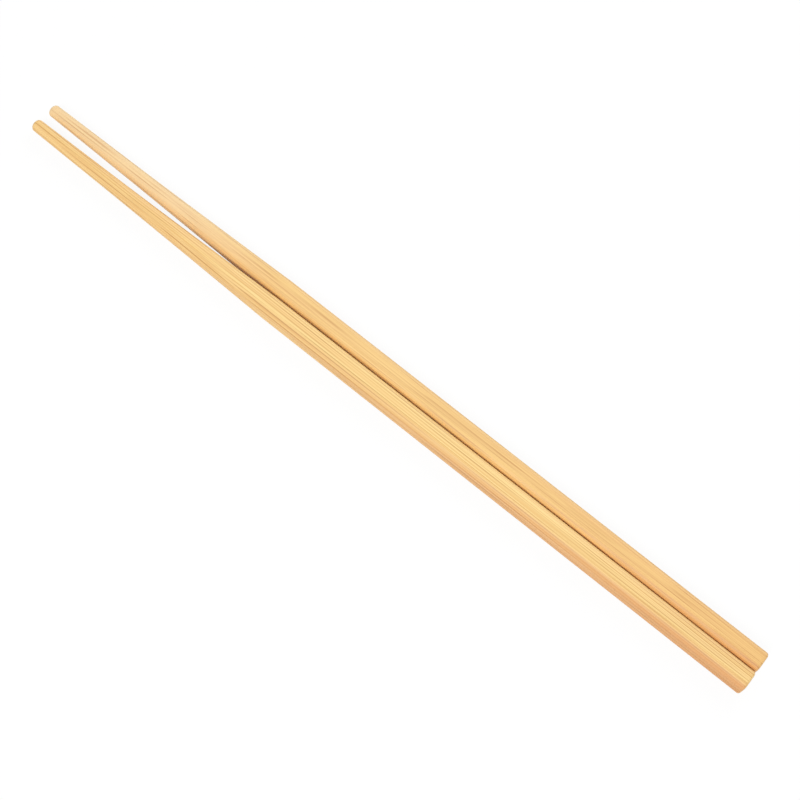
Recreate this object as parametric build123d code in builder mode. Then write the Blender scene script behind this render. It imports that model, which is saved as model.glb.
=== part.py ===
from build123d import *
from math import atan2, cos, degrees, radians
import os

# A pair of bamboo chopsticks lying side by side on the plane Z = 0, with their tips towards -X.
# Each is one piece of bamboo: a square body with rounded edges that thins slowly from the butt to
# the shoulder, then a point that thins faster, loses its flats and ends in a round, blunt tip.

# Driving dimensions, in millimetres and degrees
stick_length = 240.0
butt_width = 6.1  # across the flats, at the thick end
shoulder_width = 5.85  # across the flats, where the point begins
tip_diameter = 3.5
point_length = 83.0  # from the shoulder to the tip
round_length = 30.0  # the stretch of the point that is fully round, up to the tip
long_edge_radius = 1.7  # on the four long edges of the body
butt_edge_radius = 0.8  # around the cut at the thick end
butt_edge_share = 0.6  # the most that it may take of the long edges' radius
dome_height = 1.2  # of the rounded end of the tip
butt_gap = 0.25  # between the two sticks, at the thick end
splay_angle = 0.03  # that each stick turns away from the other towards its tip

# Places along a stick, measured from the butt
body_length = stick_length - point_length
neck_at = stick_length - round_length
dome_at = stick_length - dome_height

# The point thins evenly, so the neck lies on the straight line from the shoulder to the tip
neck_diameter = tip_diameter + (shoulder_width - tip_diameter) * round_length / point_length

# The body's underside lies flat, so the axis dips towards the tip by half of the body's taper
dip_angle = degrees(atan2((butt_width - shoulder_width) / 2, body_length))
butt_centre_height = butt_width / 2 * cos(radians(dip_angle))

# The rounding of the butt stays well inside the rounding of the long edges that run into it
butt_rounding = min(butt_edge_radius, long_edge_radius * butt_edge_share)

os.makedirs("parts", exist_ok=True)

for name, side in (("front_chopstick", -1), ("back_chopstick", 1)):
    butt_centre = Vector(stick_length / 2, side * (butt_width + butt_gap) / 2, butt_centre_height)
    turn = -side * splay_angle
    to_tip = Vector(-1, 0, 0).rotate(Axis.Y, -dip_angle).rotate(Axis.Z, turn)
    across = Vector(0, 1, 0).rotate(Axis.Z, turn)
    butt_plane = Plane(butt_centre, x_dir=across, z_dir=to_tip)
    side_plane = Plane(butt_centre, x_dir=to_tip, z_dir=across)
    top_plane = Plane(butt_centre, x_dir=to_tip, z_dir=across.cross(to_tip))

    with BuildPart() as stick:
        # The body: one tapered profile, crossed with itself, makes a square blank with flat sides
        for profile_plane, mode in ((side_plane, Mode.ADD), (top_plane, Mode.INTERSECT)):
            with BuildSketch(profile_plane):
                with BuildLine():
                    Polyline(
                        (0, butt_width / 2),
                        (body_length, shoulder_width / 2),
                        (body_length, -shoulder_width / 2),
                        (0, -butt_width / 2),
                        close=True,
                    )
                make_face()
            extrude(amount=butt_width, both=True, mode=mode)
        fillet(stick.edges().group_by(SortBy.LENGTH)[-1], long_edge_radius)

        # The stretch of the point where the flats run out, from the shoulder to the round neck
        shoulder = stick.faces().sort_by(Axis.X)[0]
        with BuildSketch(butt_plane.offset(neck_at), mode=Mode.PRIVATE) as neck:
            Circle(neck_diameter / 2)
        loft([shoulder, neck.sketch.face()], ruled=True)

        # The round end of the point, turned about the stick's axis
        with BuildSketch(side_plane):
            with BuildLine():
                Polyline(
                    (dome_at, tip_diameter / 2),
                    (neck_at, neck_diameter / 2),
                    (neck_at, 0),
                    (stick_length, 0),
                )
                EllipticalCenterArc((dome_at, 0), dome_height, tip_diameter / 2, arc_size=90)
            make_face()
        revolve(axis=Axis(butt_centre, to_tip))

        # The cut end, with its sharp edge taken off
        fillet(stick.faces().sort_by(Axis.X)[-1].edges(), butt_rounding)

    stick.part.label = name
    export_step(stick.part, f"parts/{name}.step")
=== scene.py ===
import math

import bmesh
import bpy
from mathutils import Matrix, Vector


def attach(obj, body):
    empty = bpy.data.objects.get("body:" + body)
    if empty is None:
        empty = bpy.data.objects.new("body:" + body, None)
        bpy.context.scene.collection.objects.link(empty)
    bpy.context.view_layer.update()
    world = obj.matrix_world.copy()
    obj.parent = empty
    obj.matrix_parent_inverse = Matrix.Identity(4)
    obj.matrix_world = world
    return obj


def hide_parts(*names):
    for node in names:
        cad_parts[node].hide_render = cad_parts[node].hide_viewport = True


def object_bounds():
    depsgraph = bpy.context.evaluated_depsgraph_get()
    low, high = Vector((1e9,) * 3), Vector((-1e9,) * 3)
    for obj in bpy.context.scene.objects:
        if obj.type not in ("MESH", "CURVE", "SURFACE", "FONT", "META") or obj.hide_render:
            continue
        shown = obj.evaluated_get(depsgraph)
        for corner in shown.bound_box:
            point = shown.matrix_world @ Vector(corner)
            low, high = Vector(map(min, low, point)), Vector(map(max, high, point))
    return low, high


mm = 0.001  # the sticks and the view are given in millimetres, the floor and the lamps in metres

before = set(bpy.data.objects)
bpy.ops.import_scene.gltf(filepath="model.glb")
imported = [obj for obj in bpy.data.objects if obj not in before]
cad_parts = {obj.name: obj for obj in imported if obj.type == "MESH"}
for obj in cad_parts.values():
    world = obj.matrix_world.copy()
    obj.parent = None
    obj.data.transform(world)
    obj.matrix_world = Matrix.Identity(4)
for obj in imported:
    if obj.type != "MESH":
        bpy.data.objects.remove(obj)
cadBox = [list(corner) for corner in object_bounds()]
print("frame loaded,", len(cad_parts), "nodes, CAD box", cadBox)


def srgb(hexColour):  # an sRGB hex value as the linear colour that a shader takes
    channels = [int(hexColour[i:i + 2], 16) / 255 for i in (1, 3, 5)]
    linear = [c / 12.92 if c <= 0.04045 else ((c + 0.055) / 1.055) ** 2.4 for c in channels]
    return (*linear, 1.0)


def addNode(tree, kind, inputs=None, **settings):  # one node with its settings, values and links
    node = tree.nodes.new(kind)
    for name, value in settings.items():
        setattr(node, name, value)
    for key, value in (inputs or {}).items():
        if isinstance(value, bpy.types.NodeSocket):
            tree.links.new(value, node.inputs[key])
        else:
            node.inputs[key].default_value = value
    return node


# What each point of a stick faces, kept on its mesh for the bamboo
markNames = ("flankShade", "side", "end")

# Bamboo, split, planed and sanded: pale fibres, brown vessel strands, painted shade on the flank that
# faces the front, a low satin sheen
frontBamboo = {
    "pale": "#F7D692",
    # Tints laid over it in turn: colour, where the tint begins, where it is full, its share there
    "straw": ("#E9BF7A", 0.4, 0.6, 1.0),  # on the fibre noise
    "blush": ("#F0C090", 0.45, 0.65, 0.2),  # on the tone noise
    "point": ("#E9B672", -40.0, -75.0, 0.25),  # mm along the pair
    "strand": ("#B9864A", 0.22, 0.05, 0.72),  # strand spacings from the middle of a strand
    # Two more that darken what lies under them
    "warm": ("#FAEADB", 0.0, 120.0, 0.0),  # mm along the pair, none of it on this stick
    "flankShade": ("#EACFC7", -120.0, 120.0, 1.0),  # mm along the pair: painted shade, darker and warmer, on the side that faces the front, deepest towards the butt
    # Sizes in mm: real fibres are far finer, and are drawn as coarse as they need to be to show
    "fibreLength": 80.0, "fibreWidth": 0.26,
    "toneLength": 120.0, "toneWidth": 2.5,
    "strandSpacing": 0.84, "strandStray": 0.9,
    # The strands fade and begin again on a noise, from the first of two values to the second
    "fadeLength": 40.0, "fadeWidth": 0.8, "fade": (0.38, 0.62),
    "roughness": 0.5, "ior": 1.45, "relief": 0.015, "reliefStrength": 0.5,
}
backBamboo = dict(
    frontBamboo, pale="#F2CB86", straw=("#E3B878", 0.38, 0.62, 0.9), blush=("#EDB884", 0.45, 0.65, 0.2),
    point=("#F8E0B8", -40.0, -75.0, 0.44), strand=("#B9804A", 0.22, 0.05, 0.55),
    # On this stick the painted flank shade lies on the side that faces the front stick, towards the butt
    warm=("#FAEADB", 0.0, 120.0, 0.45), flankShade=("#EACFC7", 60.0, 120.0, 0.6),
    fibreLength=25.0, fadeLength=16.0)


def bambooMaterial(name, values):
    material = bpy.data.materials.new(name)
    material.use_nodes = True
    tree = material.node_tree
    tree.nodes.clear()
    here = addNode(tree, "ShaderNodeTexCoord").outputs
    spot = addNode(tree, "ShaderNodeSeparateXYZ", {0: here["Object"]}).outputs
    marks = {mark: addNode(tree, "ShaderNodeAttribute", attribute_name=mark).outputs["Fac"]
             for mark in markNames}

    # Noises drawn out along the stick, as its fibres are
    noises = {}
    for kind in ("fibre", "tone", "fade"):
        lengthwise = 1 / (values[kind + "Length"] * mm)
        sideways = 1 / (values[kind + "Width"] * mm)
        drawnOut = addNode(tree, "ShaderNodeMapping", {
            "Vector": here["Object"], "Scale": (lengthwise, sideways, sideways)}).outputs["Vector"]
        noises[kind] = addNode(tree, "ShaderNodeTexNoise", {
            "Vector": drawnOut, "Scale": 1.0, "Detail": 1.0}).outputs["Fac"]

    # Vessel strands: lines along the top and the sides, and dots where the ends cut them
    cutEnd = addNode(tree, "ShaderNodeCombineXYZ", {"X": spot["Y"], "Y": spot["Z"]}).outputs[0]
    strandScale = 1 / (values["strandSpacing"] * mm)
    distances = []
    for dimensions, socket, place in (
            ("1D", "W", spot["Y"]), ("1D", "W", spot["Z"]), ("2D", "Vector", cutEnd)):
        distances.append(addNode(tree, "ShaderNodeTexVoronoi", {
            socket: place, "Scale": strandScale, "Randomness": values["strandStray"]},
            voronoi_dimensions=dimensions).outputs["Distance"])
    strand, onSides, onEnds = distances
    for mark, distance in (("side", onSides), ("end", onEnds)):
        strand = addNode(tree, "ShaderNodeMix", {  # its inputs 2 and 3 are numbers
            "Factor": marks[mark], 2: strand, 3: distance}).outputs[0]

    onward = addNode(tree, "ShaderNodeMath", {0: spot["X"], 1: mm}, operation="DIVIDE").outputs[0]
    guides = {"straw": noises["fibre"], "blush": noises["tone"], "point": onward, "strand": strand,
              "warm": onward, "flankShade": onward}
    fadeBegins, fadeFull = values["fade"]
    faded = addNode(tree, "ShaderNodeMapRange", {
        "Value": noises["fade"], "From Min": fadeBegins, "From Max": fadeFull}).outputs["Result"]
    # The flank tint is painted shade, kept to the side that faces the front
    limits = {"strand": faded, "flankShade": marks["flankShade"]}
    colour = srgb(values["pale"])
    for tint, guide in guides.items():
        tintColour, begins, full, most = values[tint]
        if tint in limits:
            most = addNode(tree, "ShaderNodeMath", {
                0: limits[tint], 1: most}, operation="MULTIPLY").outputs[0]
        share = addNode(tree, "ShaderNodeMapRange", {
            "Value": guide, "From Min": begins, "From Max": full, "To Max": most}).outputs["Result"]
        colour = addNode(tree, "ShaderNodeMix", {  # its inputs 6 and 7 are colours
            "Factor": share, 6: colour, 7: srgb(tintColour)}, data_type="RGBA",
            blend_type="MULTIPLY" if tint in ("warm", "flankShade") else "MIX").outputs[2]

    relief = addNode(tree, "ShaderNodeBump", {
        "Height": noises["fibre"], "Strength": values["reliefStrength"],
        "Distance": values["relief"] * mm}).outputs["Normal"]
    shader = addNode(tree, "ShaderNodeBsdfPrincipled", {
        "Base Color": colour, "Roughness": values["roughness"], "IOR": values["ior"], "Normal": relief})
    addNode(tree, "ShaderNodeOutputMaterial", {"Surface": shader.outputs["BSDF"]})
    return material


# A stick: a square body with rounded edges, thinning to a round, blunt tip
stick = {
    "buttWidth": 6.1, "shoulderWidth": 5.85, "tipDiameter": 3.5,  # mm
    "pointLength": 83.0, "roundLength": 30.0,
    "edgeRadius": 1.7, "buttRounding": 0.8, "domeHeight": 1.2,
    "buttGap": 0.25, "splayDegrees": 0.03,
    "waviness": 0.03, "wavelength": 14.0, "roundTheStick": 0.6,  # the last is its change from side to side
    "weld": 0.0005,
    "flankShadeFacing": (0.05, 0.75),  # cosines of the turn from the front, where the painted flank shade begins and is full
    "faceChange": (0.45, 0.55),  # the same, squared, where a side or an end takes over from the top
    "capRings": 8, "roundingRings": 10, "lengthRings": 340, "domeRings": 14, "sides": 96,
}
stickLength = (cadBox[1][0] - cadBox[0][0]) / mm


def stickTree(values):
    tree = bpy.data.node_groups.new("stickShape", "GeometryNodeTree")
    tree.is_modifier = True
    sizes = {
        "Length": stickLength,
        "Point Length": values["pointLength"], "Round Length": values["roundLength"],
        "Butt Width": values["buttWidth"], "Shoulder Width": values["shoulderWidth"],
        "Tip Diameter": values["tipDiameter"], "Edge Radius": values["edgeRadius"],
        "Butt Rounding": values["buttRounding"], "Dome Height": values["domeHeight"],
        "Waviness": values["waviness"], "Wavelength": values["wavelength"], "Seed": 0.0,
    }
    for name in sizes:
        tree.interface.new_socket(name, in_out="INPUT", socket_type="NodeSocketFloat")
    tree.interface.new_socket("Bamboo", in_out="INPUT", socket_type="NodeSocketMaterial")
    tree.interface.new_socket("Geometry", in_out="OUTPUT", socket_type="NodeSocketGeometry")
    given = addNode(tree, "NodeGroupInput").outputs

    # A flat grid, one row of points for each ring of the stick
    capEnd = values["capRings"]
    roundingEnd = capEnd + values["roundingRings"]
    lengthEnd = roundingEnd + values["lengthRings"]
    lastRing = lengthEnd + values["domeRings"]
    gridSide = 1.0
    gridHalf = gridSide / 2
    grid = addNode(tree, "GeometryNodeMeshGrid", {
        "Size X": gridSide, "Size Y": gridSide,
        "Vertices X": lastRing + 1, "Vertices Y": values["sides"] + 1})
    gridSpot = addNode(tree, "ShaderNodeSeparateXYZ", {
        0: addNode(tree, "GeometryNodeInputPosition").outputs[0]}).outputs
    known = dict({name: given[name] for name in sizes}, gridX=gridSpot["X"], gridY=gridSpot["Y"])

    def workOut(steps):  # each step has a name, what to do, and numbers or the names of earlier steps
        for name, operation, *parts in steps:
            parts = [known[part] if isinstance(part, str) else part for part in parts]
            if operation == "RAMP":  # straight from one value to another, and held outside the limits
                inputs = dict(zip(("Value", "From Min", "From Max", "To Min", "To Max"), parts))
                known[name] = addNode(tree, "ShaderNodeMapRange", inputs).outputs["Result"]
            else:
                inputs = dict(enumerate(parts))
                known[name] = addNode(tree, "ShaderNodeMath", inputs, operation=operation).outputs[0]

    quarterTurn = math.pi / 2
    workOut((
        # Where each ring stands: across the cut end, round its edge, along the stick, over the dome
        ("ring", "RAMP", "gridX", -gridHalf, gridHalf, 0.0, lastRing),
        ("angle", "RAMP", "gridY", -gridHalf, gridHalf, 0.0, math.tau),
        ("capShare", "RAMP", "ring", 0.0, capEnd, 0.0, 1.0),
        ("edgeTurn", "RAMP", "ring", capEnd, roundingEnd, 0.0, quarterTurn),
        ("runShare", "RAMP", "ring", roundingEnd, lengthEnd, 0.0, 1.0),
        ("domeTurn", "RAMP", "ring", lengthEnd, lastRing, 0.0, quarterTurn),
        ("domeAt", "SUBTRACT", "Length", "Dome Height"),
        ("run", "SUBTRACT", "domeAt", "Butt Rounding"),
        ("edgeCosine", "COSINE", "edgeTurn"),
        ("edgeOnward", "SUBTRACT", 1.0, "edgeCosine"),
        ("edgeDistance", "MULTIPLY", "Butt Rounding", "edgeOnward"),
        ("runDistance", "MULTIPLY_ADD", "runShare", "run", "edgeDistance"),
        ("domeSine", "SINE", "domeTurn"),
        ("distance", "MULTIPLY_ADD", "Dome Height", "domeSine", "runDistance"),
        ("edgeSine", "SINE", "edgeTurn"),
        ("edgeInward", "SUBTRACT", 1.0, "edgeSine"),
        ("inset", "MULTIPLY", "Butt Rounding", "edgeInward"),
        # The section there: a square core with a round edge, the core running out at the neck
        ("bodyLength", "SUBTRACT", "Length", "Point Length"),
        ("neckAt", "SUBTRACT", "Length", "Round Length"),
        ("bodyWidth", "RAMP", "distance", 0.0, "bodyLength", "Butt Width", "Shoulder Width"),
        ("pointTaper", "SUBTRACT", "Shoulder Width", "Tip Diameter"),
        ("pointLoss", "RAMP", "distance", "bodyLength", "Length", 0.0, "pointTaper"),
        ("width", "SUBTRACT", "bodyWidth", "pointLoss"),
        ("half", "MULTIPLY", "width", 0.5),
        ("squareShare", "RAMP", "distance", "bodyLength", "neckAt", 1.0, 0.0),
        ("flatHalf", "SUBTRACT", "half", "Edge Radius"),
        ("coreHalf", "MULTIPLY", "flatHalf", "squareShare"),
        ("core", "MAXIMUM", "coreHalf", 0.0),
        ("aroundCore", "SUBTRACT", "half", "core"),
        ("edge", "SUBTRACT", "aroundCore", "inset"),
        ("domeCosine", "COSINE", "domeTurn"),
        ("shrink", "MULTIPLY", "capShare", "domeCosine"),
    ))

    # Each quarter turn: half of one flat, the rounded edge, half of the next flat
    coreDrawn = 4.0  # the core is drawn this many times too large, and cut off at its sides
    cornerFrom = math.asin(1 / coreDrawn)
    workOut((
        ("turns", "DIVIDE", "angle", quarterTurn),
        ("quarter", "FLOOR", "turns"),
        ("quarterStart", "MULTIPLY", "quarter", quarterTurn),
        ("inQuarter", "SUBTRACT", "angle", "quarterStart"),
        ("cornerTurn", "RAMP", "inQuarter", cornerFrom, quarterTurn - cornerFrom, 0.0, quarterTurn),
        ("edgeAngle", "ADD", "quarterStart", "cornerTurn"),
    ))
    for way, turn in (("across", "COSINE"), ("up", "SINE")):
        workOut((
            (way + "Turn", turn, "angle"),
            (way + "Drawn", "MULTIPLY", way + "Turn", coreDrawn),
            (way + "Cut", "MINIMUM", way + "Drawn", 1.0),
            (way + "Core", "MAXIMUM", way + "Cut", -1.0),
            (way + "EdgeTurn", turn, "edgeAngle"),
            (way + "Edge", "MULTIPLY", way + "EdgeTurn", "edge"),
            (way + "Whole", "MULTIPLY_ADD", way + "Core", "core", way + "Edge"),
            (way, "MULTIPLY", way + "Whole", "shrink"),
        ))

    # A planed stick is never quite straight-sided: the width wanders by a few hundredths of a millimetre
    workOut((
        ("wanderX", "DIVIDE", "distance", "Wavelength"),
        ("wanderY", "MULTIPLY", "acrossTurn", values["roundTheStick"]),
        ("wanderZ", "MULTIPLY", "upTurn", values["roundTheStick"]),
    ))
    wanderSpot = addNode(tree, "ShaderNodeCombineXYZ", {
        axis: known["wander" + axis] for axis in ("X", "Y", "Z")}).outputs[0]
    known["wander"] = addNode(tree, "ShaderNodeTexNoise", {
        "Vector": wanderSpot, "W": given["Seed"], "Scale": 1.0, "Detail": 1.0},
        noise_dimensions="4D").outputs["Fac"]
    workOut((
        ("wanderIn", "SUBTRACT", "wander", 1.0),  # only ever inwards
        ("wanderDepth", "MULTIPLY", "wanderIn", "Waviness"),
        ("wanderShare", "DIVIDE", "wanderDepth", "half"),
        ("scale", "ADD", 1.0, "wanderShare"),
        ("acrossScaled", "MULTIPLY", "across", "scale"),
        ("upScaled", "MULTIPLY", "up", "scale"),
        ("placeX", "MULTIPLY", "distance", mm),
        ("placeY", "MULTIPLY", "acrossScaled", mm),
        ("placeZ", "MULTIPLY", "upScaled", mm),
    ))
    placed = addNode(tree, "ShaderNodeCombineXYZ", {
        axis: known["place" + axis] for axis in ("X", "Y", "Z")}).outputs[0]

    # What each point faces is kept for the bamboo before the grid is shaped, because the grid gives it
    workOut((
        # The flank mark says where the painted shade goes: the sides turned towards the front
        ("facesFront", "RAMP", "acrossEdgeTurn", *values["flankShadeFacing"], 0.0, 1.0),
        ("flankShade", "MULTIPLY", "facesFront", "edgeSine"),  # none of it on the cut end
        ("sideSquare", "MULTIPLY", "acrossEdgeTurn", "acrossEdgeTurn"),
        ("side", "RAMP", "sideSquare", *values["faceChange"], 0.0, 1.0),
        ("buttSquare", "MULTIPLY", "edgeCosine", "edgeCosine"),
        ("endSquare", "MULTIPLY_ADD", "domeSine", "domeSine", "buttSquare"),
        ("end", "RAMP", "endSquare", *values["faceChange"], 0.0, 1.0),
    ))
    marked = grid.outputs["Mesh"]
    for mark in markNames:
        marked = addNode(tree, "GeometryNodeStoreNamedAttribute", {
            "Geometry": marked, "Name": mark, "Value": known[mark]},
            data_type="FLOAT", domain="POINT").outputs[0]
    shaped = addNode(tree, "GeometryNodeSetPosition", {"Geometry": marked, "Position": placed})
    closed = addNode(tree, "GeometryNodeMergeByDistance", {
        "Geometry": shaped.outputs[0], "Distance": values["weld"] * mm})
    smooth = addNode(tree, "GeometryNodeSetShadeSmooth", {"Geometry": closed.outputs[0]})
    real = addNode(tree, "GeometryNodeRealizeInstances", {"Geometry": smooth.outputs[0]})
    finished = addNode(tree, "GeometryNodeSetMaterial", {
        "Geometry": real.outputs[0], "Material": given["Bamboo"]})
    addNode(tree, "NodeGroupOutput", {"Geometry": finished.outputs[0]})
    return tree, sizes


def buildStick(node, side, seed, bamboo, tree, sizes):
    blank = bpy.data.objects.new(node + "Blank", bpy.data.meshes.new(node + "Blank"))
    bpy.context.collection.objects.link(blank)
    modifier = blank.modifiers.new("shape", "NODES")
    modifier.node_group = tree
    inputs = dict(sizes, Seed=seed, Bamboo=bamboo)
    for socket in tree.interface.items_tree:
        if socket.in_out == "INPUT":
            modifier[socket.identifier] = inputs[socket.name]
    evaluated = blank.evaluated_get(bpy.context.evaluated_depsgraph_get())
    mesh = bpy.data.meshes.new_from_object(evaluated)
    bpy.data.objects.remove(blank)

    # Laid as the CAD stick lies: underside flat, butt towards +X, tip turned a little outwards
    bodyLength = stickLength - stick["pointLength"]
    dip = math.atan2((stick["buttWidth"] - stick["shoulderWidth"]) / 2, bodyLength)
    splay = math.radians(stick["splayDegrees"])
    buttCentre = Vector((cadBox[1][0], side * (stick["buttWidth"] + stick["buttGap"]) / 2 * mm,
                         stick["buttWidth"] / 2 * math.cos(dip) * mm))
    lay = (Matrix.Translation(buttCentre) @ Matrix.Rotation(-side * splay, 4, "Z")
           @ Matrix.Rotation(-dip, 4, "Y") @ Matrix.Rotation(math.pi, 4, "Z"))
    mesh.transform(lay)
    shell = bmesh.new()
    shell.from_mesh(mesh)
    bmesh.ops.recalc_face_normals(shell, faces=shell.faces)
    shell.to_mesh(mesh)
    shell.free()

    piece = bpy.data.objects.new(node + "Stick", mesh)
    bpy.context.collection.objects.link(piece)
    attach(piece, "root")
    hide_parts(node)
    print(piece.name, len(mesh.polygons), "faces")


# The pair: each stick's node, the side that it lies on, the seed of its wander, and its bamboo
pair = (
    ("front_chopstick", -1, 3.0, "frontBamboo", frontBamboo),
    ("back_chopstick", 1, 11.0, "backBamboo", backBamboo),
)
tree, sizes = stickTree(stick)
for node, side, seed, bambooName, bamboo in pair:
    buildStick(node, side, seed, bambooMaterial(bambooName, bamboo), tree, sizes)

# Pale floor: white to the eye, with the sticks' own soft shadow on it
floorLook = {
    "size": 2.4,  # m
    "white": "#FFFFFF", "bounce": "#F2F2F2",
    "glow": 1.0, "shadowShare": 0.08,
}


def pureWhite(tree):  # 1 where the eye, a reflection or a refraction looks, 0 where light bounces
    path = addNode(tree, "ShaderNodeLightPath").outputs
    seen = path["Is Camera Ray"]
    for ray in ("Is Glossy Ray", "Is Transmission Ray"):
        seen = addNode(tree, "ShaderNodeMath", {0: seen, 1: path[ray]}, operation="MAXIMUM").outputs[0]
    return seen


def buildFloor():
    half = floorLook["size"] / 2
    corners = [(-half, -half, 0), (half, -half, 0), (half, half, 0), (-half, half, 0)]
    mesh = bpy.data.meshes.new("floor")
    mesh.from_pydata(corners, [], [(0, 1, 2, 3)])
    floor = bpy.data.objects.new("floor", mesh)
    bpy.context.collection.objects.link(floor)
    material = bpy.data.materials.new("paleFloor")
    material.use_nodes = True
    tree = material.node_tree
    tree.nodes.clear()
    white = srgb(floorLook["white"])
    card = addNode(tree, "ShaderNodeBsdfDiffuse", {"Color": srgb(floorLook["bounce"])}).outputs[0]
    shade = addNode(tree, "ShaderNodeBsdfDiffuse", {"Color": white}).outputs[0]
    glow = addNode(tree, "ShaderNodeEmission", {
        "Color": white, "Strength": floorLook["glow"]}).outputs[0]
    seen = addNode(tree, "ShaderNodeMixShader", {
        0: floorLook["shadowShare"], 1: glow, 2: shade}).outputs[0]
    look = addNode(tree, "ShaderNodeMixShader", {0: pureWhite(tree), 1: card, 2: seen}).outputs[0]
    addNode(tree, "ShaderNodeOutputMaterial", {"Surface": look})
    mesh.materials.append(material)


buildFloor()
print("floor laid")

# Soft studio light: a white room, a lamp on the viewer's side, and a broader, weaker one behind
light = {
    "white": "#FFFFFF",
    "room": 0.46, "backdrop": 1.0,  # how brightly the room lights, and how bright it looks
    # Lamps, in m: the level is how bright that lamp alone makes white card at the middle of the floor
    "front": {"level": 0.42, "size": 0.3, "place": (0.1, -0.63, 0.7)},
    "behind": {"level": 0.24, "size": 0.6, "place": (-0.1, 0.78, 0.55)},
}


def buildLight():
    world = bpy.data.worlds.new("whiteRoom")
    bpy.context.scene.world = world
    world.use_nodes = True
    tree = world.node_tree
    tree.nodes.clear()
    room, backdrop = [
        addNode(tree, "ShaderNodeBackground", {
            "Color": srgb(light["white"]), "Strength": light[name]}).outputs[0]
        for name in ("room", "backdrop")]
    look = addNode(tree, "ShaderNodeMixShader", {0: pureWhite(tree), 1: room, 2: backdrop}).outputs[0]
    addNode(tree, "ShaderNodeOutputWorld", {"Surface": look})

    for name in ("front", "behind"):
        values = light[name]
        lamp = bpy.data.lights.new(name + "Lamp", "AREA")
        lamp.shape = "SQUARE"
        lamp.size = values["size"]
        place = Vector(values["place"])
        slant = place.z / place.length
        lamp.energy = values["level"] * math.pi ** 2 * place.length_squared / slant
        lampObject = bpy.data.objects.new(name + "Lamp", lamp)
        lampObject.location = place
        lampObject.rotation_euler = (-place).to_track_quat("-Z", "Y").to_euler()
        bpy.context.collection.objects.link(lampObject)


buildLight()
print("light set")

# The photograph's view: from the front and well above, tipped so that the sticks run corner to corner
view = {
    "place": (74.154, -189.249, 399.66), "aim": (5.581, 0.567, 0.0),  # mm
    "roll": 0.3543,  # radians
    "lens": 76.5, "sensorWidth": 36.0, "clipStart": 10.0,  # mm
}


def buildCamera():
    camera = bpy.data.cameras.new("camera")
    camera.lens = view["lens"]
    camera.sensor_width = view["sensorWidth"]
    camera.clip_start = view["clipStart"] * mm
    place, aim = Vector(view["place"]) * mm, Vector(view["aim"]) * mm
    ahead = (aim - place).normalized()
    right = ahead.cross(Vector((0, 0, 1))).normalized()
    up = right.cross(ahead)
    roll = Matrix.Rotation(view["roll"], 3, -ahead)
    facing = Matrix((roll @ right, roll @ up, -ahead)).transposed().to_4x4()
    cameraObject = bpy.data.objects.new("camera", camera)
    cameraObject.matrix_world = Matrix.Translation(place) @ facing
    bpy.context.collection.objects.link(cameraObject)
    bpy.context.scene.camera = cameraObject


buildCamera()
print("camera set")

bpy.context.scene.view_settings.view_transform = "Standard"
